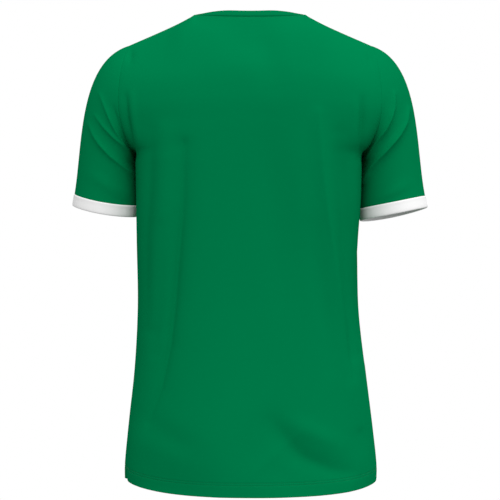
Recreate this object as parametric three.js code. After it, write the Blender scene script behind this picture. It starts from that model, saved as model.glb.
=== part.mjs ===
// Football jersey, filled out as when it is worn. Two body panels, two set-in sleeves,
// two contrast cuffs and a neck band, each one a closed wall of cloth of its own.
// Millimetres. +Z is up, the front faces -Y and the wearer's left is +X. The origin lies
// midway between the two neck points, where the wearer's shoulders carry the jersey.

import * as THREE from 'three';

// Cloth and seams
const CLOTH = 1.2;               // wall of the single cloth
const DOUBLED = 2.0;             // wall where the cloth is folded double
const SEAM_GAP = 0.4;            // space kept between two pieces along a seam
const ARMHOLE_GAP = 1.2;         // the sleeve's share of it, where its wall meets at an angle
const BAND_GAP = 0.6;            // the neck band's share
const CUFF_DEPTH = 18;
const BAND_DEPTH = 13.5;

// Neck and shoulders
const NECK_POINT = new THREE.Vector3(84.5, 5, 0);
const SHOULDER_TIP = new THREE.Vector3(188, 0, -47);
const SHOULDER_SAG = 2;          // the seam dips this far between neck point and tip
const NECK_SHARE = 0.42;         // share of a panel's width that ends at the neck
const COLUMN_SPREAD = 0.78;      // spreads a panel's columns above the armhole's foot
const NECK_COLUMNS = 16;
const SHOULDER_COLUMNS = 7;
const ROLL_ROWS = 3;             // mesh rows from where a panel rolls over to its top edge
const HEM_ROWS = 2;              // rows of points across the turned-up hem

// The arm presses the side of the body in below the armhole
const PRESS_Y = -5;
const PRESS_REACH = 32;

// Level sections of a panel, from the hem up. half is half the width at the panel's edge and
// shift moves the section to the wearer's left, sideY and sideZ place the edge, midY and midZ
// the middle line, square is the section's exponent, wrap tells how far it turns round the
// side (1) or stays an arch (0), press is how far the arm presses the edge in, and rows is the
// mesh rows up to the next.
const SECTION_COLUMNS = [
  'rows', 'midZ', 'sideZ', 'half', 'shift', 'sideY', 'midY', 'square', 'wrap', 'press',
];
const ARMHOLE_FOOT = 8;          // the section where the side seam ends and the armhole begins
const BACK_SECTIONS = table(SECTION_COLUMNS, [
  [1, -731.5, -720, 196, -1, 0, 127, 2.35, 1, 0],     // hem
  [2, -711.5, -700, 196, -1, 0, 126, 2.35, 1, 0],     // top of the hem's turning
  [3, -645, -642, 190, -0.5, 0, 120, 2.35, 1, 0],     // hip
  [3, -550, -550, 179, 0, 0, 113, 2.5, 1, 0],         // seat
  [3, -458, -458, 171.5, 2.5, 0, 109, 2.7, 1, 0],     // waist
  [2, -350, -350, 174, 3, 0, 108, 3, 1, 5],           // below the cuffs
  [2, -295, -290, 176, 2, 0, 108, 3, 1, 13],          // level with the cuffs
  [1, -250, -240, 176, 2, 0, 109, 3, 1, 13],          // below the armhole
  [2, -235, -222, 176, 2, 0, 110, 3, 1, 9],           // armhole foot
  [2, -206, -206, 183, 1, 46, 110, 3, 0.45, 0],
  [2, -172, -178, 194, 0, 66, 110, 3, 0.25, 0],
  [2, -133, -146, 199, 0, 71, 108, 2.8, 0.15, 0],     // across the back
  [2, -90, -108, 198, 0, 61, 99, 2.6, 0.1, 0],
]);
const FRONT_SECTIONS = table(SECTION_COLUMNS, [
  [1, -722, -720, 196, -1, 0, -125, 2.35, 1, 0],      // hem
  [2, -702, -700, 196, -1, 0, -124, 2.35, 1, 0],      // top of the hem's turning
  [3, -642, -642, 190, -0.5, 0, -119, 2.35, 1, 0],    // hip
  [3, -550, -550, 179, 0, 0, -114, 2.5, 1, 0],        // seat
  [3, -458, -458, 171.5, 2.5, 0, -112, 2.7, 1, 0],    // waist
  [2, -350, -350, 174, 3, 0, -116, 3, 1, 5],          // below the cuffs
  [2, -295, -290, 176, 2, 0, -119, 3, 1, 13],         // level with the cuffs
  [1, -255, -240, 176, 2, 0, -121, 3, 1, 13],         // below the armhole
  [2, -240, -222, 176, 2, 0, -121, 3, 1, 9],          // armhole foot
  [2, -222, -208, 182, 1, -42, -121, 3, 0.45, 0],
  [2, -201, -181, 189, 0, -61, -120, 3, 0.25, 0],
  [2, -172, -148, 191, 0, -67, -117, 2.8, 0.15, 0],   // across the chest
  [2, -142, -112, 191, 0, -58, -111, 2.6, 0.1, 0],
]);

// Where each panel's neck curve lies in the middle and how the curve runs there, and the line
// on which the panel rolls over towards its top edge: points spaced evenly in share from the
// middle to the armhole, the same on both sides.
const BACK = {
  side: 1,
  sections: BACK_SECTIONS,
  neck: { y: 52, z: -9, bow: 0.8, dip: 1.2 },
  roll: [[0, 74, -47], [55, 70, -38], [95, 53, -25], [128, 42, -37], [161, 39, -54.5], [194, 38, -72]],
};
const FRONT = {
  side: -1,
  sections: FRONT_SECTIONS,
  neck: { y: -84, z: -80, bow: 0.9, dip: 1.15 },
  roll: [[0, -94, -109], [59, -83, -85], [94, -52, -41], [126, -36, -41], [159, -34, -56], [191, -36, -74]],
};

// Soft folds, each along a line given in the X and Z that are seen from behind or in front.
// height lifts the cloth outwards, or sinks it where it is negative, over about width each way.
const FOLD_COLUMNS = ['face', 'width', 'height', 'line'];
const FOLD_END = 0.12;           // how much of a fold is left at its ends, as a share of half a wave
const SLEEVE_FOLD_CLEAR = 30;    // sleeve folds fade out this near to the underarm and the top
const BODY_FOLDS = table(FOLD_COLUMNS, [
  [1, 17, -5, [[100, -215], [103, -291], [111, -380], [115, -439], [123, -508], [138, -573], [160, -632]]],
  [1, 15, 3, [[128, -190], [130, -290], [139, -380], [148, -470]]],
  [1, 15, 4, [[-101, -170], [-110, -250], [-122, -350], [-134, -440], [-144, -528], [-164, -625]]],
  [1, 15, -4, [[-134, -225], [-142, -335], [-149, -439], [-153, -553]]],
  [1, 24, -2, [[-24, -170], [-33, -291], [-45, -430]]],
  [1, 18, -4, [[158, -620], [118, -646], [80, -664]]],
  [1, 18, -4, [[-30, -617], [-56, -647], [-86, -672], [-140, -690]]],
  [-1, 17, -5, [[-104, -230], [-110, -330], [-118, -430], [-130, -520], [-150, -610]]],
  [-1, 15, 4, [[100, -220], [112, -330], [124, -440], [140, -540], [160, -620]]],
  [-1, 15, -4, [[132, -240], [142, -350], [149, -450], [154, -560]]],
  [-1, 24, -2, [[22, -240], [30, -340], [38, -440]]],
  [-1, 18, -4, [[-150, -618], [-112, -640], [-70, -668]]],
  [-1, 18, -4, [[36, -628], [70, -652], [120, -682]]],
]);
const SLEEVE_FOLDS = {
  left: table(FOLD_COLUMNS, [
    [1, 8, 4, [[229, -127], [210, -172], [192, -204], [182, -220]]],
    [1, 8, 3, [[234, -162], [210, -192], [182, -226]]],
    [1, 8, 4, [[247, -172], [227, -206], [196, -238], [178, -252]]],
    [-1, 8, 4, [[232, -130], [214, -170], [194, -206], [182, -222]]],
    [-1, 8, 4, [[248, -168], [226, -204], [198, -234], [180, -250]]],
  ]),
  right: table(FOLD_COLUMNS, [
    [1, 8, 4, [[220, -129], [212, -168], [193, -203], [180, -224]]],
    [1, 8, 4, [[244, -150], [226, -190], [198, -227], [175, -260]]],
    [-1, 8, 4, [[224, -132], [212, -170], [192, -206], [180, -222]]],
    [-1, 8, 4, [[246, -156], [226, -194], [200, -228], [178, -254]]],
  ]),
};

// Sleeves: the cuff seam's centre and half sizes, how far the sleeve leans out and how far
// its open end tips back, in degrees, and how far that end bows down in front and behind.
// side is +1 on the wearer's left.
const SLEEVES = table(['name', 'side', 'centre', 'halfWidth', 'halfDepth', 'lean', 'tip', 'bow'], [
  ['left', 1, [222.4, -5, -286], 51.7, 59, 10, -4, 2.5],
  ['right', -1, [-221.3, -5, -289.8], 52.7, 59, 11.3, 0, 2],
]);
const SLEEVE_ROWS = 15;
const SLEEVE_FIRST_ROW = 0.1;    // share of the sleeve's length above its second row of points
const CUFF_ROWS = 2;
const CUFF_PROUD = 0.5;          // the doubled cuff stands this far outside the sleeve

// How the sleeve leaves the armhole, and how far it runs straight into the cuff, at eight
// places round the ring: underarm, then up the back to the top and down the front.
const SLEEVE_START = [
  [16, 0, 8], [32, 4, -34], [72, -4, -62], [155, 4, -64],
  [236, 0, -72], [155, -10, -64], [80, -4, -62], [32, -4, -34],
];
const SLEEVE_END = [60, 96, 150, 205, 232, 205, 150, 96];

// Neck band: how far it leans in from the vertical, in degrees
const BAND_LEAN = { back: 35, side: 66, front: 42 };
const BAND_ROWS = 3;
const BAND_CENTRE_Y = -8;

const GREEN = 0x00754a;
const WHITE = 0xf2f2f2;

function table(columns, rows) {
  return rows.map((row) => Object.fromEntries(columns.map((name, i) => [name, row[i]])));
}

function vector(values) {
  return new THREE.Vector3(...values);
}

const { lerp, smoothstep, degToRad } = THREE.MathUtils;

// Point of a level section, s = -1 to 1 across the panel
function sectionPoint(section, s) {
  const share = Math.abs(s);
  const across = lerp(share ** COLUMN_SPREAD, Math.sin(share * Math.PI / 2), section.wrap);
  const roundness = lerp(1, section.square, section.wrap);
  const bulge = Math.max(0, 1 - across ** section.square) ** (1 / roundness);
  const y = lerp(section.sideY, section.midY, bulge);
  const z = lerp(section.midZ, section.sideZ, across ** 2);
  const press = section.press * Math.exp(-(((y - PRESS_Y) / PRESS_REACH) ** 2));
  return new THREE.Vector3(section.shift + Math.sign(s) * (section.half * across - press), y, z);
}

// Top edge of a panel: the neck curve in the middle and a shoulder seam on each side
function topPoint(panel, s) {
  const share = Math.abs(s);
  const point = new THREE.Vector3();
  if (share < NECK_SHARE) {
    const angle = share / NECK_SHARE * Math.PI / 2;
    point.x = NECK_POINT.x * Math.sin(angle);
    point.y = lerp(NECK_POINT.y, panel.neck.y, Math.cos(angle) ** panel.neck.bow);
    point.z = lerp(NECK_POINT.z, panel.neck.z, Math.cos(angle) ** panel.neck.dip);
  } else {
    const along = (share - NECK_SHARE) / (1 - NECK_SHARE);
    point.lerpVectors(NECK_POINT, SHOULDER_TIP, along);
    point.z -= SHOULDER_SAG * Math.sin(Math.PI * Math.sqrt(along));
  }
  point.x *= Math.sign(s) || 1;
  return point;
}

// Where the panel rolls over towards its top edge
function rollCurve(panel) {
  const [middle, ...half] = panel.roll;
  const mirrored = half.map(([x, y, z]) => [-x, y, z]).reverse();
  return new THREE.CatmullRomCurve3([...mirrored, middle, ...half].map(vector), false, 'catmullrom');
}

function rollPoint(panel, s) {
  return rollCurve(panel).getPoint((s + 1) / 2);
}

// One column of a panel, from the hem to its top edge and on over the shoulder
function columnCurve(panel, other, s) {
  const points = panel.sections.map((section) => sectionPoint(section, s));
  const top = topPoint(panel, s);
  const roll = rollPoint(panel, s);
  const straightOn = top.clone().multiplyScalar(2).sub(roll);
  const overShoulder = smoothstep(Math.abs(s), NECK_SHARE * 0.8, NECK_SHARE);
  points.push(roll, top, straightOn.lerp(rollPoint(other, s), overShoulder));
  return new THREE.CatmullRomCurve3(points, false, 'centripetal');
}

// Positions of the mesh rows, counted in sections, up to the top edge
const TOP = BACK_SECTIONS.length + 1;
function rowPositions(first) {
  const positions = [];
  for (let at = first; at < TOP; at += 1) {
    const rows = at < BACK_SECTIONS.length ? BACK_SECTIONS[at].rows : ROLL_ROWS;
    for (let i = 0; i < rows; i += 1) positions.push(at + i / rows);
  }
  return [...positions, TOP];
}

function columnPositions() {
  const positions = [];
  for (let i = -SHOULDER_COLUMNS; i < 0; i += 1) {
    positions.push(lerp(-NECK_SHARE, -1, -i / SHOULDER_COLUMNS));
  }
  for (let i = 0; i <= NECK_COLUMNS; i += 1) {
    positions.push(NECK_SHARE * (2 * i / NECK_COLUMNS - 1));
  }
  for (let i = 1; i <= SHOULDER_COLUMNS; i += 1) {
    positions.push(lerp(NECK_SHARE, 1, i / SHOULDER_COLUMNS));
  }
  return positions;
}

// Distance from a point to a fold's line as it is seen from behind or in front, and how
// much of the fold is left there: it fades out at both ends
function foldHeight(fold, x, z) {
  let nearest = Infinity;
  let strength = 0;
  const spans = fold.line.length - 1;
  for (let i = 0; i < spans; i += 1) {
    const start = new THREE.Vector2(...fold.line[i]);
    const span = new THREE.Vector2(...fold.line[i + 1]).sub(start);
    const offset = new THREE.Vector2(x, z).sub(start);
    const along = THREE.MathUtils.clamp(offset.dot(span) / span.lengthSq(), 0, 1);
    const distance = offset.distanceTo(span.multiplyScalar(along));
    if (distance < nearest) {
      nearest = distance;
      strength = Math.sin(Math.PI * lerp(FOLD_END, 1 - FOLD_END, (i + along) / spans));
    }
  }
  return fold.height * strength * Math.exp(-((nearest / fold.width) ** 2));
}

function foldsAt(folds, face, x, z) {
  return folds
    .filter((fold) => fold.face === face)
    .reduce((sum, fold) => sum + foldHeight(fold, x, z), 0);
}

// Normals of a grid of points, grid[row][column]; closed tells that the columns form a ring
function gridNormals(grid, closed) {
  const rows = grid.length;
  const columns = grid[0].length;
  return grid.map((row, j) => row.map((_, i) => {
    const left = closed ? (i + columns - 1) % columns : Math.max(i - 1, 0);
    const right = closed ? (i + 1) % columns : Math.min(i + 1, columns - 1);
    const across = row[right].clone().sub(row[left]);
    const up = grid[Math.min(j + 1, rows - 1)][i].clone().sub(grid[Math.max(j - 1, 0)][i]);
    return across.cross(up).normalize();
  }));
}

// Moves the points of a grid along their normals
function raised(grid, closed, amount) {
  const normals = gridNormals(grid, closed);
  return grid.map((row, j) => row.map((point, i) => (
    point.clone().addScaledVector(normals[j][i], amount(point, i, j)))));
}

// Pulls the points of one edge back square to the edge, towards their inner neighbours
function pullBack(edge, inner, amount = SEAM_GAP / 2) {
  const last = edge.length - 1;
  const moves = edge.map((point, i) => {
    const along = edge[Math.min(i + 1, last)].clone().sub(edge[Math.max(i - 1, 0)]).normalize();
    const inwards = inner[i].clone().sub(point);
    return inwards.addScaledVector(along, -inwards.dot(along)).setLength(amount);
  });
  edge.forEach((point, i) => point.add(moves[i]));
}

// Closed wall of cloth with the grid in its middle
function wallMesh(name, grid, { closed, thickness, colour }) {
  const outer = raised(grid, closed, (point, i, j) => thickness(j) / 2);
  const inner = raised(grid, closed, (point, i, j) => -thickness(j) / 2);
  const rows = grid.length;
  const columns = grid[0].length;
  const positions = [...outer, ...inner].flat().flatMap((point) => point.toArray());
  const vertex = (layer, j, i) => (layer * rows + j) * columns + i % columns;
  const index = [];
  const quad = (a, b, c, d) => index.push(a, b, c, a, c, d);
  const spans = closed ? columns : columns - 1;
  for (let i = 0; i < spans; i += 1) {
    for (let j = 0; j < rows - 1; j += 1) {
      quad(vertex(0, j, i), vertex(0, j, i + 1), vertex(0, j + 1, i + 1), vertex(0, j + 1, i));
      quad(vertex(1, j, i), vertex(1, j + 1, i), vertex(1, j + 1, i + 1), vertex(1, j, i + 1));
    }
    quad(vertex(1, 0, i), vertex(1, 0, i + 1), vertex(0, 0, i + 1), vertex(0, 0, i));
    const last = rows - 1;
    quad(vertex(0, last, i), vertex(0, last, i + 1), vertex(1, last, i + 1), vertex(1, last, i));
  }
  if (!closed) {
    const last = columns - 1;
    for (let j = 0; j < rows - 1; j += 1) {
      quad(vertex(1, j, 0), vertex(0, j, 0), vertex(0, j + 1, 0), vertex(1, j + 1, 0));
      quad(vertex(0, j, last), vertex(1, j, last), vertex(1, j + 1, last), vertex(0, j + 1, last));
    }
  }
  const geometry = new THREE.BufferGeometry();
  geometry.setAttribute('position', new THREE.Float32BufferAttribute(positions, 3));
  geometry.setIndex(index);
  geometry.computeVertexNormals();
  const material = new THREE.MeshStandardMaterial({ color: colour, roughness: 0.6, metalness: 0 });
  const mesh = new THREE.Mesh(geometry, material);
  mesh.name = name;
  return mesh;
}

// Points of a body panel. The back's columns run against X, so that its normals point out too
function panelGrid(panel, other, columns, rows) {
  const curves = columns.map((s) => columnCurve(panel, other, s));
  const grid = rows.map((at) => curves.map((curve) => curve.getPoint(at / (TOP + 1))));
  if (panel.side > 0) grid.forEach((row) => row.reverse());
  return raised(grid, false, ({ x, z }) => foldsAt(BODY_FOLDS, panel.side, x, z));
}

function bodyPanel(name, panel, other) {
  const columns = columnPositions();
  const grid = panelGrid(panel, other, columns, rowPositions(0));
  for (const [edge, inner] of [[0, 1], [columns.length - 1, columns.length - 2]]) {
    pullBack(grid.map((row) => row[edge]), grid.map((row) => row[inner]));
  }
  pullBack(grid.at(-1), grid.at(-2));
  return wallMesh(name, grid, {
    closed: false, colour: GREEN, thickness: (j) => (j < HEM_ROWS ? DOUBLED : CLOTH),
  });
}

// Armhole edge of one side, as a ring from the underarm up the back and down the front.
// Each entry has its point and its place round the ring, 0 to 1.
function armholeRing(side) {
  const positions = rowPositions(ARMHOLE_FOOT);
  const share = (at) => (at - ARMHOLE_FOOT) / (TOP - ARMHOLE_FOOT) / 2;
  const edge = (panel, other) => panelEdge(panel, other, side, positions);
  const back = edge(BACK, FRONT).map((point, i) => ({ point, around: share(positions[i]) }));
  const front = edge(FRONT, BACK).map((point, i) => ({ point, around: 1 - share(positions[i]) }));
  return [...back, ...front.slice(1, -1).reverse()];
}

function panelEdge(panel, other, side, positions) {
  const curve = columnCurve(panel, other, side);
  return positions.map((at) => curve.getPoint(at / (TOP + 1)));
}

// Value of a list of vectors spaced evenly round a ring
function aroundRing(values, around) {
  return new THREE.CatmullRomCurve3(values, true, 'catmullrom').getPoint(around);
}

function sleeveFrame(sleeve) {
  const lean = degToRad(sleeve.lean);
  const tip = degToRad(sleeve.tip);
  const axis = new THREE.Vector3(sleeve.side * Math.sin(lean), Math.sin(tip), -Math.cos(lean));
  axis.normalize();
  const outward = new THREE.Vector3(-axis.z * sleeve.side, 0, axis.x * sleeve.side).normalize();
  const backward = new THREE.Vector3().crossVectors(outward, axis).multiplyScalar(sleeve.side);
  return { axis, outward, backward, centre: vector(sleeve.centre) };
}

function cuffRingPoint(sleeve, frame, around, depth) {
  const angle = around * 2 * Math.PI;
  const bow = sleeve.bow * Math.sin(angle) ** 2;
  return frame.centre.clone()
    .addScaledVector(frame.outward, -sleeve.halfWidth * Math.cos(angle))
    .addScaledVector(frame.backward, sleeve.halfDepth * Math.sin(angle))
    .addScaledVector(frame.axis, depth + bow);
}

// Smooth curve from the armhole to the cuff seam, leaving and arriving in given directions
function sleevePoint(start, leave, end, arrive, u) {
  const point = new THREE.Vector3();
  const square = u * u;
  const cube = square * u;
  point.addScaledVector(start, 2 * cube - 3 * square + 1);
  point.addScaledVector(leave, cube - 2 * square + u);
  point.addScaledVector(end, 3 * square - 2 * cube);
  point.addScaledVector(arrive, cube - square);
  return point;
}

// Shares of the sleeve's length at which its rows of points lie
function sleeveRows() {
  const rest = Array.from({ length: SLEEVE_ROWS }, (_, j) => j / (SLEEVE_ROWS - 1));
  return [0, ...rest.map((share) => lerp(SLEEVE_FIRST_ROW, 1, share))];
}

function sleeveGrid(sleeve) {
  const frame = sleeveFrame(sleeve);
  const starts = SLEEVE_START.map(([x, y, z]) => new THREE.Vector3(sleeve.side * x, y, z));
  const ends = SLEEVE_END.map((length) => new THREE.Vector3(length, 0, 0));
  const ring = armholeRing(sleeve.side);
  const grid = sleeveRows().map((down) => (
    ring.map(({ point, around }) => {
      const leave = aroundRing(starts, around);
      const arrive = frame.axis.clone().multiplyScalar(aroundRing(ends, around).x);
      const end = cuffRingPoint(sleeve, frame, around, 0);
      return sleevePoint(point, leave, end, arrive, down);
    })));
  if (sleeve.side < 0) grid.forEach((row) => row.reverse());
  return { grid, frame };
}

function sleeveMesh(sleeve) {
  const { grid, frame } = sleeveGrid(sleeve);
  const rows = sleeveRows();
  const folded = raised(grid, true, (point, i, j) => {
    const fade = Math.sin(Math.PI * rows[j]);
    const face = point.y > frame.centre.y ? 1 : -1;
    const side = smoothstep(Math.abs(point.y - frame.centre.y), 0, SLEEVE_FOLD_CLEAR);
    return fade * side * foldsAt(SLEEVE_FOLDS[sleeve.name], face, point.x * sleeve.side, point.z);
  });
  pullBack(folded[0], folded[1], ARMHOLE_GAP);
  pullBack(folded.at(-1), folded.at(-2));
  return wallMesh(`sleeve_${sleeve.name}`, folded, {
    closed: true, colour: GREEN, thickness: () => CLOTH,
  });
}

function cuffMesh(sleeve) {
  const frame = sleeveFrame(sleeve);
  const ring = armholeRing(sleeve.side);
  if (sleeve.side < 0) ring.reverse();
  const proud = {
    ...sleeve,
    halfWidth: sleeve.halfWidth + CUFF_PROUD,
    halfDepth: sleeve.halfDepth + CUFF_PROUD,
  };
  const grid = [];
  for (let j = 0; j <= CUFF_ROWS; j += 1) {
    const depth = lerp(SEAM_GAP / 2, CUFF_DEPTH, j / CUFF_ROWS);
    grid.push(ring.map(({ around }) => cuffRingPoint(proud, frame, around, depth)));
  }
  return wallMesh(`cuff_${sleeve.name}`, grid, {
    closed: true, colour: WHITE, thickness: () => DOUBLED,
  });
}

// Neck band, on the ring of both panels' neck curves
function neckBandMesh() {
  const columns = columnPositions().filter((s) => Math.abs(s) <= NECK_SHARE + 1e-9);
  const back = columns.map((s) => topPoint(BACK, s));
  const front = columns.slice(1, -1).reverse().map((s) => topPoint(FRONT, s));
  const seam = [...back, ...front];
  const grid = [];
  for (let j = 0; j <= BAND_ROWS; j += 1) {
    const depth = lerp(BAND_GAP, BAND_DEPTH, j / BAND_ROWS);
    grid.push(seam.map((point) => {
      const inward = new THREE.Vector3(-point.x, BAND_CENTRE_Y - point.y, 0).normalize();
      const lean = inward.y < 0
        ? lerp(BAND_LEAN.side, BAND_LEAN.back, inward.y ** 2)
        : lerp(BAND_LEAN.side, BAND_LEAN.front, inward.y ** 2);
      return point.clone()
        .addScaledVector(inward, depth * Math.sin(degToRad(lean)))
        .add(new THREE.Vector3(0, 0, depth * Math.cos(degToRad(lean))));
    }));
  }
  grid.forEach((row) => row.reverse());
  return wallMesh('neck_band', grid, {
    closed: true, colour: GREEN, thickness: () => DOUBLED,
  });
}

const jersey = new THREE.Group();
jersey.add(bodyPanel('back_panel', BACK, FRONT));
jersey.add(bodyPanel('front_panel', FRONT, BACK));
for (const sleeve of SLEEVES) {
  jersey.add(sleeveMesh(sleeve));
  jersey.add(cuffMesh(sleeve));
}
jersey.add(neckBandMesh());

export default jersey;
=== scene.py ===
"""Football jersey, filled out as worn.

Its cloth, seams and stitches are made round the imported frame, and shown in a studio.
"""

import math

import bmesh
import bpy
import numpy as np
from bpy.props import FloatProperty, FloatVectorProperty, PointerProperty
from mathutils import Matrix, Vector


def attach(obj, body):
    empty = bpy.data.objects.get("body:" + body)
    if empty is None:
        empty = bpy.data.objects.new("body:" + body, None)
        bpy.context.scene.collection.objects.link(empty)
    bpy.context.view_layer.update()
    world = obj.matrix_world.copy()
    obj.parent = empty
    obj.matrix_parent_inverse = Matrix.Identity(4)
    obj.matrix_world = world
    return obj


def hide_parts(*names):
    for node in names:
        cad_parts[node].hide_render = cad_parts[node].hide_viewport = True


bl_info = {
    "name": "Football jersey",
    "version": (1, 0, 0),
    "blender": (4, 5, 0),
    "location": "View3D > Sidebar > Jersey",
    "description": "Cloth pieces, seams and stitches of a short-sleeved football jersey, with a studio",
    "category": "Object",
}

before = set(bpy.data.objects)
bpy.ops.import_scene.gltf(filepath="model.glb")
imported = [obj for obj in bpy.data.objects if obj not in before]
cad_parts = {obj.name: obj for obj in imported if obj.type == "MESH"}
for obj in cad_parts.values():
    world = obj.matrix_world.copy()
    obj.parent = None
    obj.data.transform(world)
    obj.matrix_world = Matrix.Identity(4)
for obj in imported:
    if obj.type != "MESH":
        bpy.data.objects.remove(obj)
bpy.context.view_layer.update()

# The cloth's sizes are in millimetres, as a pattern cutter writes them, and are scaled once, when
# its points go into a mesh
MM = 0.001

# Neck and shoulders
NECK_POINT = np.array([84.5, 5.0, 0.0])
SHOULDER_TIP = np.array([188.0, 0.0, -47.0])
SHOULDER_SAG = 2.0
NECK_SHARE = 0.42            # share of a panel's width that ends at the neck
COLUMN_SPREAD = 0.78         # spreads a panel's columns above the armhole's foot
SHOULDER_BLEND = 0.8         # from this part of the neck's share on, columns run over the shoulder

# The arm presses the side of the body in below the armhole
PRESS_Y = -5.0
PRESS_REACH = 32.0

# Level sections of a panel, from the hem up: mid is the middle line and side the edge, half is half
# the width, shift goes to the wearer's left, square is the section's exponent, wrap tells how far
# it turns round the side (1) or stays an arch (0), press is how far the arm presses the edge in,
# and rise tells how late the height changes towards the edge.
SECTION_COLUMNS = ("midZ", "sideZ", "half", "shift", "sideY", "midY", "square", "wrap", "press", "rise")
ARMHOLE_FOOT = 8             # the section where the side seam ends and the armhole begins
BACK_SECTIONS = (
    (-729.6, -720, 196, -1, 0, 127, 2.35, 1, 0, 4),       # hem
    (-709.6, -700, 196, -1, 0, 126, 2.35, 1, 0, 4),       # top of the hem's turning
    (-645, -642, 190, -0.5, 0, 120, 2.35, 1, 0, 2),       # hip
    (-550, -550, 179, 0, 0, 113, 2.5, 1, 0, 2),           # seat
    (-458, -458, 171.5, 2.5, 0, 109, 2.75, 1, 0, 2),      # waist
    (-350, -350, 174, 3, 0, 108, 3.05, 1, 5, 2),          # below the cuffs
    (-295, -290, 176, 2, 0, 108.5, 3.3, 1, 13, 2),        # level with the cuffs
    (-250, -240, 176, 2, 0, 109.2, 3.5, 1, 13, 2),        # below the armhole
    (-235, -222, 176, 2, 0, 109.5, 3.6, 1, 9, 2),         # armhole foot
    (-206, -206, 183, 1, 46, 109.9, 3.3, 0.45, 0, 2),
    (-172, -178, 194, 0, 66, 110, 2.85, 0.25, 0, 2),
    (-133, -146, 199, 0, 71, 108, 2.8, 0.15, 0, 2),       # across the back
    (-90, -108, 198, 0, 61, 99, 2.6, 0.1, 0, 2),
)
FRONT_SECTIONS = (
    (-722, -720, 196, -1, 0, -125, 2.35, 1, 0, 4),        # hem
    (-702, -700, 196, -1, 0, -124, 2.35, 1, 0, 4),        # top of the hem's turning
    (-642, -642, 190, -0.5, 0, -119, 2.35, 1, 0, 2),      # hip
    (-550, -550, 179, 0, 0, -114, 2.5, 1, 0, 2),          # seat
    (-458, -458, 171.5, 2.5, 0, -112, 2.75, 1, 0, 2),     # waist
    (-350, -350, 174, 3, 0, -116, 3.05, 1, 5, 2),         # below the cuffs
    (-295, -290, 176, 2, 0, -119, 3.3, 1, 13, 2),         # level with the cuffs
    (-255, -240, 176, 2, 0, -120.5, 3.5, 1, 13, 2),       # below the armhole
    (-240, -222, 176, 2, 0, -121, 3.6, 1, 9, 2),          # armhole foot
    (-222, -208, 182, 1, -42, -121, 3.3, 0.45, 0, 2),
    (-201, -181, 189, 0, -61, -120, 2.85, 0.25, 0, 2),
    (-172, -148, 191, 0, -67, -117, 2.8, 0.15, 0, 2),     # across the chest
    (-142, -112, 191, 0, -58, -111, 2.6, 0.1, 0, 2),
)
TOP = len(BACK_SECTIONS) + 1

# Each panel's neck curve, and the line on which it rolls over towards its top edge
BACK = {
    "name": "back",
    "face": 1,
    "sections": BACK_SECTIONS,
    "neck": {"y": 52, "z": -9, "bow": 0.8, "dip": 1.2},
    "roll": ((0, 74, -47), (55, 70, -38), (95, 53, -25), (128, 42, -37), (161, 39, -54.5),
             (194, 38, -72)),
}
FRONT = {
    "name": "front",
    "face": -1,
    "sections": FRONT_SECTIONS,
    "neck": {"y": -84, "z": -80, "bow": 0.9, "dip": 1.15},
    "roll": ((0, -94, -109), (59, -83, -85), (94, -52, -41), (126, -36, -41), (159, -34, -56),
             (191, -36, -74)),
}

# Folds and creases: the face they lie on (1 is the back), width, height outwards, how sharp their
# crest is (2 is a soft wave, less is a crease), and their line in X and Z
SOFT = 2.0
BODY_FOLDS = (
    # Back
    (1, 17, -5, SOFT, ((100, -215), (103, -291), (111, -380), (115, -439), (123, -508), (138, -573),
                       (160, -632))),
    (1, 15, 3, SOFT, ((128, -190), (130, -290), (139, -380), (148, -470))),
    (1, 15, 4, SOFT, ((-101, -170), (-110, -250), (-122, -350), (-134, -440), (-144, -528), (-164, -625))),
    (1, 15, -4, SOFT, ((-134, -225), (-142, -335), (-149, -439), (-153, -553))),
    (1, 24, -2, SOFT, ((-24, -170), (-33, -291), (-45, -430))),
    (1, 18, -2, SOFT, ((158, -620), (118, -646), (80, -664))),
    (1, 18, -3.5, SOFT, ((-30, -623), (-56, -654), (-86, -680), (-140, -698))),
    # Front
    (-1, 17, -5, SOFT, ((-104, -230), (-110, -330), (-118, -430), (-130, -520), (-150, -610))),
    (-1, 15, 4, SOFT, ((100, -220), (112, -330), (124, -440), (140, -540), (160, -620))),
    (-1, 15, -4, SOFT, ((132, -240), (142, -350), (149, -450), (154, -560))),
    (-1, 24, -2, SOFT, ((22, -240), (30, -340), (38, -440))),
    (-1, 18, -4, SOFT, ((-150, -618), (-112, -640), (-70, -668))),
    (-1, 18, -4, SOFT, ((36, -628), (70, -652), (120, -682))),
)
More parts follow.
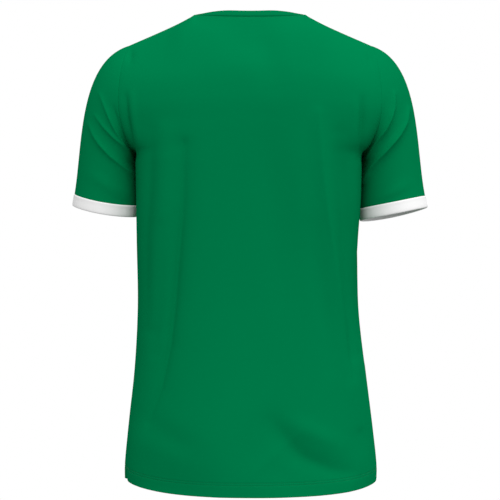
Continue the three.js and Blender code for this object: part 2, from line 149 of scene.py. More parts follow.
BODY_CREASES = (
    # Back, inside the left armhole and then the right one
    (1, 5, -5, 1.4, ((187, -134), (185, -165), (181, -195), (175, -222))),
    (1, 6, 2.2, SOFT, ((178, -132), (176, -165), (169, -208))),
    (1, 5.5, -5, 1.4, ((-169, -140), (-168.5, -170), (-168, -200), (-166, -226))),
    (1, 6, 1.8, SOFT, ((-159, -140), (-158, -170), (-155, -212))),
    # Back, long creases down the left side
    (1, 6, -4.5, 1.4, ((98, -205), (101, -300), (107, -365), (114, -439), (122, -508), (136, -573),
                       (156, -625))),
    (1, 11, -4, 1.7, ((147, -187), (151, -261), (158, -350), (155, -484))),
    (1, 9, -2.5, SOFT, ((131, -330), (137, -440), (146, -520))),
    # Back, long ridge and creases down the right side
    (1, 5, 2.5, 1.4, ((-101, -158), (-108, -242), (-117, -316), (-125, -365), (-135, -439), (-145, -513),
                      (-154, -587), (-164, -632))),
    (1, 17, -6.5, SOFT, ((-136, -195), (-148, -300), (-156, -400), (-163, -520))),
    (1, 16, 1.5, SOFT, ((-75, -205), (-75, -345))),
    (1, 14, -1.5, SOFT, ((-94, -330), (-105, -424), (-124, -540))),
    # Back, low down: the right corner, and the left one tucked in
    (1, 14, 2.5, SOFT, ((-66, -622), (-132, -657))),
    (1, 11, -2, 1.8, ((-38, -622), (-75, -668), (-124, -692), (-168, -703))),
    (1, 48, -8, SOFT, ((-40, -665), (-80, -712), (-150, -735))),
    (1, 54, -13, SOFT, ((190, -718), (122, -728), (45, -738))),
    # Back, below the neck, on the flank and at the tops of the armholes
    (1, 20, -2.5, SOFT, ((-20, -40), (-33, -120))),
    (1, 6, -1.5, 1.5, ((-151, -484), (-155, -556))),
    (1, 6, -2.5, 1.7, ((184, -58), (182, -78))),
    (1, 6, -2, 1.7, ((-184, -62), (-183, -82))),
    # Front
    (-1, 8, -4.5, 1.6, ((178, -118), (177, -155), (175, -192), (173, -228))),
    (-1, 8, -4, 1.6, ((-179, -114), (-177, -152), (-175, -190), (-173, -224))),
    (-1, 6, -4.5, 1.4, ((-104, -230), (-110, -330), (-118, -430), (-130, -520), (-148, -605))),
    (-1, 11, -4, 1.7, ((-147, -195), (-150, -270), (-156, -360), (-154, -480))),
    (-1, 5, 2.5, 1.4, ((100, -220), (112, -330), (124, -440), (140, -540), (160, -620))),
    (-1, 11, -4.5, 1.7, ((124, -240), (134, -340), (146, -450), (154, -545))),
    (-1, 12, -4, 1.8, ((36, -628), (72, -655), (122, -680), (164, -692))),
    (-1, 16, 1.5, SOFT, ((72, -230), (76, -350))),
    (-1, 14, -1.5, SOFT, ((92, -340), (104, -430), (122, -540))),
    (-1, 14, 2.5, SOFT, ((70, -628), (130, -652))),
    (-1, 6, -1.5, 1.5, ((150, -470), (154, -545))),
    (-1, 7, -2, 1.7, ((176, -62), (172, -92))),
    (-1, 7, -2, 1.7, ((-177, -60), (-173, -88))),
)
SLEEVE_FOLDS = {
    "left": (
        (1, 8, 1.4, SOFT, ((229, -127), (210, -172), (192, -204), (182, -220))),
        (1, 8, 1, SOFT, ((234, -162), (210, -192), (182, -226))),
        (1, 8, 1.5, SOFT, ((247, -172), (227, -206), (196, -238), (178, -252))),
        (-1, 8, 4, SOFT, ((232, -130), (214, -170), (194, -206), (182, -222))),
        (-1, 8, 4, SOFT, ((248, -168), (226, -204), (198, -234), (180, -250))),
    ),
    "right": (
        (1, 8, 2.4, SOFT, ((220, -129), (212, -168), (193, -203), (180, -224))),
        (1, 8, 2.6, SOFT, ((244, -150), (226, -190), (198, -227), (175, -260))),
        (-1, 8, 4, SOFT, ((224, -132), (212, -170), (192, -206), (180, -222))),
        (-1, 8, 4, SOFT, ((246, -156), (226, -194), (200, -228), (178, -254))),
    ),
}
SLEEVE_CREASES = {
    "left": (
        (1, 2.7, 2.9, 1.2, ((229, -127), (218, -152), (209, -173), (200, -191), (192, -205), (183, -218))),
        (1, 2.6, 2.8, 1.2, ((236, -160), (222, -178), (209, -192), (195, -206), (180, -227))),
        (1, 2.7, 3, 1.2, ((246, -173), (237, -192), (227, -206), (213, -222), (195, -238), (178, -252))),
        (1, 9, 1.5, SOFT, ((240, -252), (224, -262), (212, -271), (196, -280))),
        (1, 5, -2.5, 1.6, ((207, -150), (196, -178), (186, -204))),
        (-1, 4.5, 2, 1.3, ((232, -130), (222, -154), (208, -180), (194, -206), (182, -222))),
        (-1, 4.5, 2, 1.3, ((248, -168), (237, -188), (222, -209), (198, -234), (180, -250))),
        (-1, 9, 1.5, SOFT, ((238, -250), (222, -262), (200, -276))),
    ),
    "right": (
        (1, 2.8, 5.2, 1.2, ((219, -127), (217, -150), (211, -168), (203, -185), (192, -203), (180, -224))),
        (1, 2.8, 5.4, 1.2, ((243, -148), (237, -171), (225, -191), (211, -209), (197, -227), (185, -243),
                            (175, -261))),
        (1, 9, 1.5, SOFT, ((240, -264), (222, -276), (204, -288))),
        (1, 5, -2, 1.6, ((203, -140), (195, -170), (184, -200))),
        (-1, 4, 2, 1.3, ((224, -132), (216, -158), (204, -186), (180, -222))),
        (-1, 4.5, 2, 1.3, ((246, -156), (236, -178), (218, -206), (200, -228), (178, -254))),
        (-1, 9, 1.5, SOFT, ((238, -262), (220, -274), (202, -286))),
    ),
}
FOLD_END = 0.12              # how much of a fold is left at its ends, as a share of half a wave
SLEEVE_FOLD_CLEAR = 30.0     # sleeve folds fade out this near to the underarm and the top
EDGE_CLEAR = 26.0            # body folds fade out this near to a seam
CREASE_CLEAR = 10.0          # and creases this near
SLEEVE_CREASE_CLEAR = 0.1    # share of the sleeve's length in which its creases fade at each end

# Sleeves: side, cuff seam's centre and half sizes, lean out and tip back in degrees, and how
# far the open end bows down in front and behind
SLEEVES = (
    {"name": "left", "side": 1, "centre": (222.4, -5, -286), "half": (51.7, 59),
     "lean": 10, "tip": -4, "bow": 2.5},
    {"name": "right", "side": -1, "centre": (-221.3, -5, -291.4), "half": (52.7, 59),
     "lean": 11.3, "tip": 2.2, "bow": 2},
)

# How the sleeve leaves the armhole, and how far it runs straight into the cuff, at eight
# places round the ring: underarm, then up the back to the top and down the front
SLEEVE_START = (
    (16, 0, 8), (32, -6, -34), (72, -34, -62), (155, -26, -64),
    (236, 0, -72), (155, 18, -64), (80, 26, -62), (32, 6, -34),
)
SLEEVE_END = (60, 96, 150, 205, 232, 205, 150, 96)

# Neck band: its lean in from the vertical, in degrees, and where the side's lean gives way to the
# others, between the side (0) and the back or front (1)
BAND_LEAN = {"back": 44.0, "side": 80.0, "front": 46.0}
BAND_LEAN_FADE = (0.2, 0.9)
BAND_CENTRE_Y = -8.0
BAND_INSET = 1e-6            # keeps the band's ends just inside the neck's share of the panels
BAND_SIDE_STAND = 0.3        # how much of its standing out is left at the sides of the neck

# Doubled cuff: depth below its seam, and how far it stands out from the ring
CUFF_PROFILE = (
    (3.6, -2.4), (1.6, -1.6), (0.5, -0.7), (0.35, 0.1), (0.5, 0.7), (1.1, 1.1), (2.2, 1.1), (4, 0.9),
    (7, 0.85), (10, 0.85), (13, 0.85), (15.5, 0.8), (17.0, 0.6), (17.8, 0.2), (18.0, -0.2),
    (17.7, -0.6), (16.6, -0.85), (14, -0.9), (10, -0.9), (6, -0.9), (2.5, -0.9),
)

# Doubled neck band: distance from its seam, and how far it stands out
BAND_PROFILE = (
    (-3.0, -2.6), (-1.2, -1.7), (0.2, -0.9), (0.5, 0.0), (0.9, 0.6), (1.8, 0.95), (3.5, 1.0), (6, 1.0),
    (9, 0.95), (11.5, 0.85), (12.8, 0.6), (13.4, 0.2), (13.5, -0.2), (13.1, -0.6), (12, -0.85),
    (9, -0.9), (6, -0.9), (3, -0.9), (1, -0.9),
)

# Places of rows near a seam, measured from it, how deep the cloth sinks to the seam and over
# what distance, and places of columns near a panel's edge, as shares of its half width
SEAM_STEPS = (0.15, 0.5, 1.1, 2.0, 3.0, 4.6, 7.0)
SEAM_DEPTH = 0.18
SEAM_REACH = 1.1
EDGE_SHARES = (0, 0.00004, 0.0002, 0.0007, 0.0016, 0.003, 0.0055, 0.01, 0.018, 0.03)

# Seam allowance: how far each of its rows lies below the cloth, and back from the seam
ALLOWANCE = ((0.8, 0.1), (1.5, 0.5), (1.9, 1.6), (1.9, 3.4), (1.8, 6.0))

# Hem and neck: places of rows across the turning and its stitches
HEM_STEPS = (0, 0.4, 1.0, 2.0, 3.5, 6, 9, 12, 14.4, 15.6, 16.2, 16.6, 17.0, 17.4, 17.9, 18.75,
             19.6, 20.1, 20.5, 20.9, 21.4, 22.2, 23.5, 25.5, 28.5)
HEM_LAYER = 1.15                 # space from the cloth to its turning, in layers
HEM_NOSE = 0.35                  # how far the turned edge rounds out below
TURNED_ROWS = 8
NECK_STITCH = 3.2                # coverstitch below the neck band
NECK_DIP = 4.0                   # how many times deeper the neck seam sinks behind and in front
NECK_DIP_SPREAD = 2.0            # and how many times as far
NECK_DIP_FADE = 0.2              # share of the panel over which that ends at the neck point
NECK_STEPS = (0.2, 0.6, 1.2, 1.9, 2.5, 3.2, 3.9, 4.8, 6.5)
STITCH_DIP = 0.3
STITCH_DIP_REACH = 0.8
STITCH_SHARE = 0.36              # half of a stitch's length, as a share of the pitch
STITCH_LIFT = 0.42               # height of the thread's middle over the middle of the cloth
STITCH_SEGMENTS = (6, 5)         # round a stitch, and from end to end

# Rows and columns of the meshes
FINE_ROWS = 700
PANEL_COLUMNS = 158
PANEL_ROWS = 212
SLEEVE_AROUND = 224
SLEEVE_FINE = 160
SLEEVE_ROWS = 92
CUFF_AROUND = 168
BAND_COLUMNS = 120
WELD = 1e-6                      # points of a tube's first and last column are joined, in metres
TINY = 1e-9                      # least length that a direction is worked out from
SHORTEST_STEP = 1e-3             # least step between the points of a smooth curve

# Knit: a stitch's height as a share of its width, how far its legs slant, in stitches, the relief
# of its loops and of the yarn's grain against its columns, and the scale and detail of the noise
KNIT_COURSE = 0.8
KNIT_SLANT = 0.5
KNIT_LOOPS = 0.35
KNIT_GRAIN = 0.5
CLOUD = {"Scale": 9.0, "Detail": 3.0}
GRAIN = {"Scale": 900.0, "Detail": 2.0}

# What the noise and the columns do to the knit's colour and roughness, and the bump in metres
# The columns' share of the colour is painted shade: darker in the valleys between them, lighter on their
# ridges
TONE_AND_SHADE_SHARES = {"cloud": 0.35, "grain": 0.25, "ridge": 0.4}
DEEPEST = 0.9
ROUGHNESS_SPREAD = 0.1
NAP_ROUGHNESS = 0.45
BUMP = {"Strength": 0.3, "Distance": 0.0001}

# Finishes of the knits: colour, how much of it, roughness, nap and gloss
KNITS = {
    "green": {"colour": "green", "shade": 1.0, "roughness": 0.6, "sheen": 0.02, "gloss": 0.0},
    # The band's green is a darker copy: partly its own darker colour, partly painted shade
    "band": {"colour": "green", "shade": 0.9, "roughness": 0.62, "sheen": 0.02, "gloss": 0.0},
    "white": {"colour": "white", "shade": 1.0, "roughness": 0.65, "sheen": 0.0, "gloss": 0.1},
}

# Thread: its twist, its darkest shade and its finish
TWIST = {"Scale": 900.0, "Distortion": 0.4}
THREAD_DEEPEST = 0.8
THREAD_ROUGHNESS = 0.5
THREAD_GLOSS = 0.15

# Floor: its mottle, its darkest shade and its roughness
MOTTLE = {"Scale": 2.0, "Detail": 2.0}
FLOOR_DEEPEST = 0.98
FLOOR_ROUGHNESS = 0.95


class JerseySizes(bpy.types.PropertyGroup):
    """Sizes of the cloth, its turnings and its stitches"""

    cloth: FloatProperty(
        name="Cloth", description="Thickness of one layer of the knit",
        default=0.0008, min=0.0003, max=0.002, unit="LENGTH", precision=4)
    hem_depth: FloatProperty(
        name="Hem depth", description="How far the hem is turned up inside",
        default=0.022, min=0.01, max=0.04, unit="LENGTH", precision=4)
    stitch_rows: FloatVectorProperty(
        name="Hem stitches", description="Heights of the twin-needle rows above the hem's edge",
        default=(0.017, 0.0205), size=2, unit="LENGTH", precision=4)
    stitch_pitch: FloatProperty(
        name="Stitch pitch", description="Length of one stitch with its gap",
        default=0.0031, min=0.002, max=0.006, unit="LENGTH", precision=4)
    thread: FloatProperty(
        name="Thread", description="Thickness of the sewing thread on the surface",
        default=0.00055, min=0.0002, max=0.001, unit="LENGTH", precision=5)
    wale: FloatProperty(
        name="Wale", description="Width of one column of knit stitches",
        default=0.0009, min=0.0004, max=0.003, unit="LENGTH", precision=5)


class JerseyColours(bpy.types.PropertyGroup):
    """Colours of the cloths and of the sewing thread"""

    green: FloatVectorProperty(
        name="Green", description="Body and sleeves",
        default=(0.0, 0.157, 0.053), size=3, subtype="COLOR", min=0, max=1)
    white: FloatVectorProperty(
        name="White", description="Cuffs",
        default=(0.78, 0.78, 0.78), size=3, subtype="COLOR", min=0, max=1)
    thread: FloatVectorProperty(
        name="Thread", description="Sewing thread in the green cloth",
        default=(0.0, 0.14, 0.047), size=3, subtype="COLOR", min=0, max=1)
    floor: FloatVectorProperty(
        name="Floor", description="Studio floor",
        default=(0.35, 0.35, 0.35), size=3, subtype="COLOR", min=0, max=1)


def smoothstep(value, low, high):
    """0 up to low and 1 from high on, with a smooth rise between them"""
    share = np.clip((value - low) / (high - low), 0, 1)
    return share * share * (3 - 2 * share)


def blend(a, b, share):
    return a + (b - a) * share


def unit(vectors):
    return vectors / np.linalg.norm(vectors, axis=-1, keepdims=True).clip(TINY)


def hermite(start, leave, end, arrive, t):
    """Smooth curve between two points, with the directions in which it leaves and arrives"""
    square, cube = t * t, t * t * t
    return (start * (2 * cube - 3 * square + 1) + leave * (cube - 2 * square + t)
            + end * (3 * square - 2 * cube) + arrive * (cube - square))


def smooth_values(values, at):
    """Smooth curve through values, at places counted in values from the second one on"""
    span = np.clip(np.floor(at).astype(int), 0, len(values) - 4)
    before, start, end, after = (values[span + step] for step in range(4))
    return hermite(start, (end - before) / 2, end, (after - start) / 2, (at - span)[:, None])


def smooth_line(values, shares):
    """Smooth values along an open line from a few that are spaced evenly on it"""
    values = np.array(values, float)
    ends = 2 * values[[0, -1]] - values[[1, -2]]
    return smooth_values(np.concatenate([ends[:1], values, ends[1:]]), shares * (len(values) - 1))


def smooth_ring(values, around):
    """Smooth values round a ring from a few that are spaced evenly on it"""
    values = np.array(values, float)
    return smooth_values(np.concatenate([values[-1:], values, values[:2]]), (around % 1) * len(values))


def section_points(section, shares):
    """Points of one level section at shares -1 to 1 across the panel"""
    size = dict(zip(SECTION_COLUMNS, section))
    share = np.abs(shares)
    across = blend(share ** COLUMN_SPREAD, np.sin(share * math.pi / 2), size["wrap"]).clip(0, 1)
    roundness = blend(1, size["square"], size["wrap"])
    bulge = (1 - across ** size["square"]) ** (1 / roundness)
    y = blend(size["sideY"], size["midY"], bulge)
    z = blend(size["midZ"], size["sideZ"], across ** size["rise"])
    press = size["press"] * np.exp(-(((y - PRESS_Y) / PRESS_REACH) ** 2))
    x = size["shift"] + np.sign(shares) * (size["half"] * across - press)
    return np.stack([x, y, z], axis=-1)


def top_points(panel, shares):
    """Top edge of a panel: the neck curve in the middle and a shoulder seam on each side"""
    share = np.abs(shares)
    angle = np.minimum(share / NECK_SHARE, 1) * math.pi / 2
    fall = np.cos(angle).clip(0, 1)
    neck = np.stack([
        NECK_POINT[0] * np.sin(angle),
        blend(NECK_POINT[1], panel["neck"]["y"], fall ** panel["neck"]["bow"]),
        blend(NECK_POINT[2], panel["neck"]["z"], fall ** panel["neck"]["dip"]),
    ], axis=-1)
    along = np.clip((share - NECK_SHARE) / (1 - NECK_SHARE), 0, 1)
    shoulder = NECK_POINT + (SHOULDER_TIP - NECK_POINT) * along[:, None]
    shoulder[:, 2] -= SHOULDER_SAG * np.sin(math.pi * np.sqrt(along))
    points = np.where((share < NECK_SHARE)[:, None], neck, shoulder)
    points[:, 0] *= np.where(shares < 0, -1, 1)
    return points


def roll_points(panel, shares):
    """Where the panel rolls over towards its top edge"""
    half = np.array(panel["roll"], float)
    line = np.concatenate([half[:0:-1] * [-1, 1, 1], half])
    return smooth_line(line, (shares + 1) / 2)


def control_points(panel, other, shares):
    """The sections, the roll, the top edge and one point over the shoulder, for each column"""
    points = [section_points(section, shares) for section in panel["sections"]]
    top = top_points(panel, shares)
    roll = roll_points(panel, shares)
    over = smoothstep(np.abs(shares), NECK_SHARE * SHOULDER_BLEND, NECK_SHARE)[:, None]
    points += [roll, top, blend(2 * top - roll, roll_points(other, shares), over)]
    return np.stack(points)


def through_points(points, at):
    """Smooth centripetal curves through points[place, column], at places counted in points"""
    span = np.clip(np.floor(at).astype(int), 0, len(points) - 2)
    ends = 2 * points[[0, -1]] - points[[1, -2]]
    padded = np.concatenate([ends[:1], points, ends[1:]])
    before, start, end, after = (padded[span + step] for step in range(4))

    def step(a, b):
        return np.sqrt(np.linalg.norm(b - a, axis=-1, keepdims=True)).clip(SHORTEST_STEP)

    d0, d1, d2 = step(before, start), step(start, end), step(end, after)
    leave = ((start - before) / d0 - (end - before) / (d0 + d1) + (end - start) / d1) * d1
    arrive = ((end - start) / d1 - (after - start) / (d1 + d2) + (after - end) / d2) * d1
    return hermite(start, leave, end, arrive, (at - span)[:, None, None])


def fold_heights(folds, face, x, z):
    """How far the folds of one face lift the cloth at the places x, z"""
    total = np.zeros_like(x)
    for fold_face, width, height, sharp, line in folds:
        if fold_face != face:
            continue
        nearest = np.full_like(x, np.inf)
        strength = np.zeros_like(x)
        spans = len(line) - 1
        for i in range(spans):
            start, end = np.array(line[i], float), np.array(line[i + 1], float)
            step = end - start
            along = ((x - start[0]) * step[0] + (z - start[1]) * step[1]) / (step @ step)
            along = along.clip(0, 1)
            distance = np.hypot(x - start[0] - along * step[0], z - start[1] - along * step[1])
            closer = distance < nearest
            nearest = np.where(closer, distance, nearest)
            wave = np.sin(math.pi * blend(FOLD_END, 1 - FOLD_END, (i + along) / spans))
            strength = np.where(closer, wave, strength)
        total += height * strength * np.exp(-((nearest / width) ** sharp))
    return total


def grid_normals(points, closed):
    """Outward normals of points[row, column]; a closed grid's last column repeats its first"""
    if closed:
        ring = points[:, :-1]
        across = np.roll(ring, -1, axis=1) - np.roll(ring, 1, axis=1)
        across = np.concatenate([across, across[:, :1]], axis=1)
    else:
        across = np.gradient(points, axis=1)
    return unit(np.cross(across, np.gradient(points, axis=0)))


def lengths(points, axis):
    """Running length along one axis of the grid, starting from 0"""
    steps = np.linalg.norm(np.diff(points, axis=axis), axis=-1)
    pad = [(0, 0), (0, 0)]
    pad[axis] = (1, 0)
    return np.pad(np.cumsum(steps, axis=axis), pad)


def resampled(points, low, high, middle):
    """The grid with new rows: at set distances from its two ends, and evenly between"""
    length = lengths(points, 0)
    columns = []
    for i in range(points.shape[1]):
        total = length[-1, i]
        between = np.linspace(low[-1], total - high[-1], middle + 2)[1:-1]
        at = np.concatenate([low, between, total - np.array(high[::-1])])
        columns.append(np.stack([np.interp(at, length[:, i], points[:, i, k]) for k in range(3)], -1))
    return np.stack(columns, axis=1)


def seam_dip(distance):
    """How far the cloth sinks towards a seam"""
    return SEAM_DEPTH * np.exp(-((distance / SEAM_REACH) ** 2))


def column_shares():
    """Shares across a panel, close together at both edges"""
    inside = 1 - np.array(EDGE_SHARES)
    between = np.linspace(-inside[-1], inside[-1], PANEL_COLUMNS + 2)[1:-1]
    return np.concatenate([-inside, between, inside[::-1]])


def turned_in(edge, inner, normals):
    """Rows of a seam allowance, from the edge in under the cloth"""
    inwards = unit(inner - edge)
    return np.stack([edge - normals * down + inwards * back for down, back in ALLOWANCE])


def with_seam_rows(points, normals, at_start):
    """Adds a seam allowance along the last row, and along the first one where asked"""
    parts = [points, turned_in(points[-1], points[-2], normals[-1])]
    if at_start:
        parts.insert(0, turned_in(points[0], points[1], normals[0])[::-1])
    return np.concatenate(parts)


def with_seam_columns(points, normals):
    """Adds seam allowances along both sides, and says what the normals are there"""
    left = turned_in(points[:, 0], points[:, 1], normals[:, 0])[::-1]
    right = turned_in(points[:, -1], points[:, -2], normals[:, -1])
    wider = np.concatenate([left.swapaxes(0, 1), points, right.swapaxes(0, 1)], axis=1)
    rows = len(ALLOWANCE)
    return wider, np.pad(normals, ((0, 0), (rows, rows), (0, 0)), mode="edge")


def cloth_object(name, points, closed, material):
    """Thin shell of cloth on a grid of points in millimetres, with its UV map in metres"""
    rows, columns = points.shape[:2]
    u = lengths(points, 1) * MM
    v = lengths(points, 0) * MM
    u -= u[:, columns // 2][:, None]
    bm = bmesh.new()
    bmesh.ops.create_grid(bm, x_segments=columns - 1, y_segments=rows - 1, size=0.5)
    places = {}
    for vert in bm.verts:
        i = round((vert.co.x + 0.5) * (columns - 1))
        j = round((vert.co.y + 0.5) * (rows - 1))
        places[vert] = (j, i)
    uv_layer = bm.loops.layers.uv.new("cloth")
    for face in bm.faces:
        face.smooth = True
        for loop in face.loops:
            place = places[loop.vert]
            loop[uv_layer].uv = (u[place], v[place])
    for vert, place in places.items():
        vert.co = Vector(points[place] * MM)
    if closed:
        bmesh.ops.remove_doubles(bm, verts=bm.verts, dist=WELD)
    obj = mesh_object(name, bm, material)
    wall = obj.modifiers.new("Cloth", "SOLIDIFY")
    wall.thickness = bpy.context.scene.jersey_sizes.cloth
    wall.offset = 0
    wall.use_even_offset = False
    return obj


def mesh_object(name, bm, material):
    """Puts a finished mesh in the scene, in one material"""
    mesh = bpy.data.meshes.new(name)
    bm.to_mesh(mesh)
    bm.free()
    obj = bpy.data.objects.new(name, mesh)
    bpy.context.scene.collection.objects.link(obj)
    obj.data.materials.append(material)
    return obj


def finish_cloth(obj, node, points, axis=(0, 0, 0)):
    """Puts a cloth piece in its node's place; the width it was cut to is worked out but not kept

    Its rows may slant, so its width is measured square to the axis that it stands round.
    """
    axis = np.array(axis, float)
    width = lengths(points - (points @ axis)[..., None] * axis, 1)[:, -1].max() * MM
    a = points[1:, 1:] - points[:-1, :-1]
    b = points[1:, :-1] - points[:-1, 1:]
    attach(obj, "root")
    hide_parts(node)


def feed(tree, node, sockets):
    """Links wires to a node's inputs, or sets their values; _0 is the input with number 0"""
    for key, value in sockets.items():
        target = node.inputs[int(key[1:])] if key[1:].isdigit() else node.inputs[key.replace("_", " ")]
        if isinstance(value, Wire):
            tree.links.new(value.socket, target)
        else:
            target.default_value = value


class Wire:
    """Wraps a shader socket, so that node maths reads as ordinary expressions"""

    def __init__(self, tree, socket):
        self.tree = tree
        self.socket = socket

    def node(self, kind, settings=None, output=0, **sockets):
        """Adds a node, its settings first and then the values or links of its inputs"""
        node = self.tree.nodes.new(kind)
        for key, value in (settings or {}).items():
            setattr(node, key, value)
        feed(self.tree, node, sockets)
        return Wire(self.tree, node.outputs[output])

    def math(self, operation, other=0.0):
        return self.node("ShaderNodeMath", {"operation": operation}, _0=self, _1=other)

    def __add__(self, other):
        return self.math("ADD", other)

    def __sub__(self, other):
        return self.math("SUBTRACT", other)

    def __rsub__(self, other):
        return self.node("ShaderNodeMath", {"operation": "SUBTRACT"}, _0=other, _1=self)

    def __mul__(self, other):
        return self.math("MULTIPLY", other)

    def __truediv__(self, other):
        return self.math("DIVIDE", other)


def mixed(share, first, second):
    """Mix of two colours by a wire"""
    return share.node("ShaderNodeMix", {"data_type": "RGBA"}, output=2, _0=share, _6=first, _7=second)


def opaque(colour, shade=1.0):
    """A colour with its alpha, as sockets take it"""
    return tuple(value * shade for value in colour) + (1,)


def new_material(name):
    """A new material, and a wire that starts its node maths"""
    material = bpy.data.materials.new(name)
    material.use_nodes = True
    return material, Wire(material.node_tree, None)


def finish_material(material, **sockets):
    feed(material.node_tree, material.node_tree.nodes["Principled BSDF"], sockets)
    return material


def knit_material(name, colour, wale, knit):
    """Fine smooth knit: rows of small V stitches on the piece's own UV map, with a soft nap"""
    material, start = new_material(name)
    uv = start.node("ShaderNodeUVMap", {"uv_map": "cloth"})
    parts = {axis: uv.node("ShaderNodeSeparateXYZ", output=i, _0=uv) for i, axis in enumerate("xy")}
    course = wale * KNIT_COURSE
    leg = ((parts["x"] / wale).math("FRACT") - 0.5).math("ABSOLUTE") * 2
    loops = ((parts["y"] / course + leg * KNIT_SLANT) * (2 * math.pi)).math("SINE")
    ridge = 1 - leg * leg
    height = loops * KNIT_LOOPS + ridge
    place = start.node("ShaderNodeTexCoord", output=3)
    cloud = start.node("ShaderNodeTexNoise", Vector=place, **CLOUD)
    grain = start.node("ShaderNodeTexNoise", Vector=place, **GRAIN)
    # Random tone from the noise, and painted shade from the columns: darker between them, lighter on their
    # ridges
    share = cloud * TONE_AND_SHADE_SHARES["cloud"] + grain * TONE_AND_SHADE_SHARES["grain"] + ridge * TONE_AND_SHADE_SHARES["ridge"]
    brightest = max(colour)
    tint = opaque(value / brightest for value in colour)
    return finish_material(
        material,
        Base_Color=mixed(share, opaque(colour, DEEPEST), opaque(colour)),
        Roughness=cloud * ROUGHNESS_SPREAD + (knit["roughness"] - ROUGHNESS_SPREAD / 2),
        Normal=start.node("ShaderNodeBump", **BUMP, Height=height + grain * KNIT_GRAIN),
        Sheen_Weight=knit["sheen"],
        Sheen_Roughness=NAP_ROUGHNESS,
        Sheen_Tint=tint,
        Specular_IOR_Level=knit["gloss"],
        Specular_Tint=tint)


def thread_material(name, colour):
    """Twisted sewing thread: fine slanting bands of light and shade along the stitch"""
    material, start = new_material(name)
    place = start.node("ShaderNodeTexCoord", output=3)
    twist = start.node("ShaderNodeTexWave", {"bands_direction": "DIAGONAL"}, output=1, Vector=place, **TWIST)
    return finish_material(
        material,
        Base_Color=mixed(twist, opaque(colour, THREAD_DEEPEST), opaque(colour)),
        Roughness=THREAD_ROUGHNESS,
        Normal=start.node("ShaderNodeBump", **BUMP, Height=twist),
        Specular_IOR_Level=THREAD_GLOSS)


def floor_material(name, colour):
    """Pale painted floor with a faint mottle"""
    material, start = new_material(name)
    place = start.node("ShaderNodeTexCoord", output=3)
    mottle = start.node("ShaderNodeTexNoise", Vector=place, **MOTTLE)
    return finish_material(
        material,
        Base_Color=mixed(mottle, opaque(colour, FLOOR_DEEPEST), opaque(colour)),
        Roughness=FLOOR_ROUGHNESS,
        Specular_IOR_Level=0.0)


def material_for(kind):
    """The jersey's materials, made once from the scene's sizes and colours"""
    name = f"jersey_{kind}"
    if name in bpy.data.materials:
        return bpy.data.materials[name]
    sizes, colours = bpy.context.scene.jersey_sizes, bpy.context.scene.jersey_colours
    if kind in KNITS:
        knit = KNITS[kind]
        colour = [value * knit["shade"] for value in getattr(colours, knit["colour"])]
        return knit_material(name, colour, sizes.wale, knit)
    if kind == "thread":
        return thread_material(name, colours.thread)
    return floor_material(name, colours.floor)


def edge_distances(points, axis):
    """Distance along one axis of the grid to the nearer end of it"""
    run = lengths(points, axis)
    last = np.take(run, [-1], axis=axis)
    return np.minimum(run, last - run)


def body_surface(panel, other):
    """Middle of a panel's cloth from hem edge to top edge, with its folds and creases"""
    shares = column_shares()
    at = np.linspace(0, TOP, FINE_ROWS)
    points = through_points(control_points(panel, other, shares), at)
    if panel["face"] > 0:
        points, shares = points[:, ::-1], shares[::-1]
    from_side = edge_distances(points, 1)
    lift = np.zeros(points.shape[:2])
    for folds, clear in ((BODY_FOLDS, EDGE_CLEAR), (BODY_CREASES, CREASE_CLEAR)):
        heights = fold_heights(folds, panel["face"], points[..., 0], points[..., 2])
        lift += heights * smoothstep(from_side, 0, clear)
    points = points + grid_normals(points, False) * lift[..., None]
    return resampled(points, HEM_STEPS, NECK_STEPS, PANEL_ROWS), shares


def body_panel(panel, other):
    """A body panel: its shell, turned up at the hem and turned in at every seam"""
    sizes = bpy.context.scene.jersey_sizes
    points, shares = body_surface(panel, other)
    normals = grid_normals(points, False)
    from_side = edge_distances(points, 1)
    up = lengths(points, 0)
    from_top = up[-1:] - up
    sink = np.maximum(seam_dip(from_side), seam_dip(from_top))
    for height in sizes.stitch_rows:
        sink += stitch_dip(up - height / MM)
    at_neck = np.abs(shares) < NECK_SHARE
    deeper = NECK_DIP * smoothstep(NECK_SHARE - np.abs(shares), 0, NECK_DIP_FADE)
    sink += deeper * seam_dip(from_top / NECK_DIP_SPREAD)
    sink += at_neck * stitch_dip(from_top - NECK_STITCH)
    points = points - normals * sink[..., None]
    neck_row = len(up) - 1 - NECK_STEPS.index(NECK_STITCH)
    stitched = {
        "hem": [row_at(points, normals, up, height / MM) for height in sizes.stitch_rows],
        "neck": [(points[neck_row][at_neck], normals[neck_row][at_neck])],
    }
    points = with_hem(points, normals, sizes)
    obj = cloth_object(f"{panel['name']}_cloth", points, False, material_for("green"))
    finish_cloth(obj, f"{panel['name']}_panel", points, (0, 0, 1))
    return stitched


def stitch_dip(distance):
    """How far a row of stitches pulls the cloth in"""
    return STITCH_DIP * np.exp(-((distance / STITCH_DIP_REACH) ** 2))


def row_at(points, normals, up, height):
    """The row of points nearest to a height above the hem's edge, with its normals"""
    row = int(np.argmin(np.abs(up[:, up.shape[1] // 2] - height)))
    return points[row], normals[row]


def with_hem(points, normals, sizes):
    """Adds seam allowances at the sides and the top, and the hem's turning below"""
    up = lengths(points, 0)[:, points.shape[1] // 2]
    down = unit(points[0] - points[1])
    points, normals = with_seam_columns(points, normals)
    down = np.pad(down, ((len(ALLOWANCE), len(ALLOWANCE)), (0, 0)), mode="edge")
    layer = sizes.cloth / MM * HEM_LAYER
    turned = []
    for height in np.linspace(sizes.hem_depth / MM, HEM_NOSE, TURNED_ROWS):
        row = int(np.argmin(np.abs(up - height)))
        turned.append(points[row] - normals[row] * layer)
    turned.append(points[0] - normals[0] * layer / 2 + down * HEM_NOSE)
    return np.concatenate([np.stack(turned), with_seam_rows(points, normals, False)])


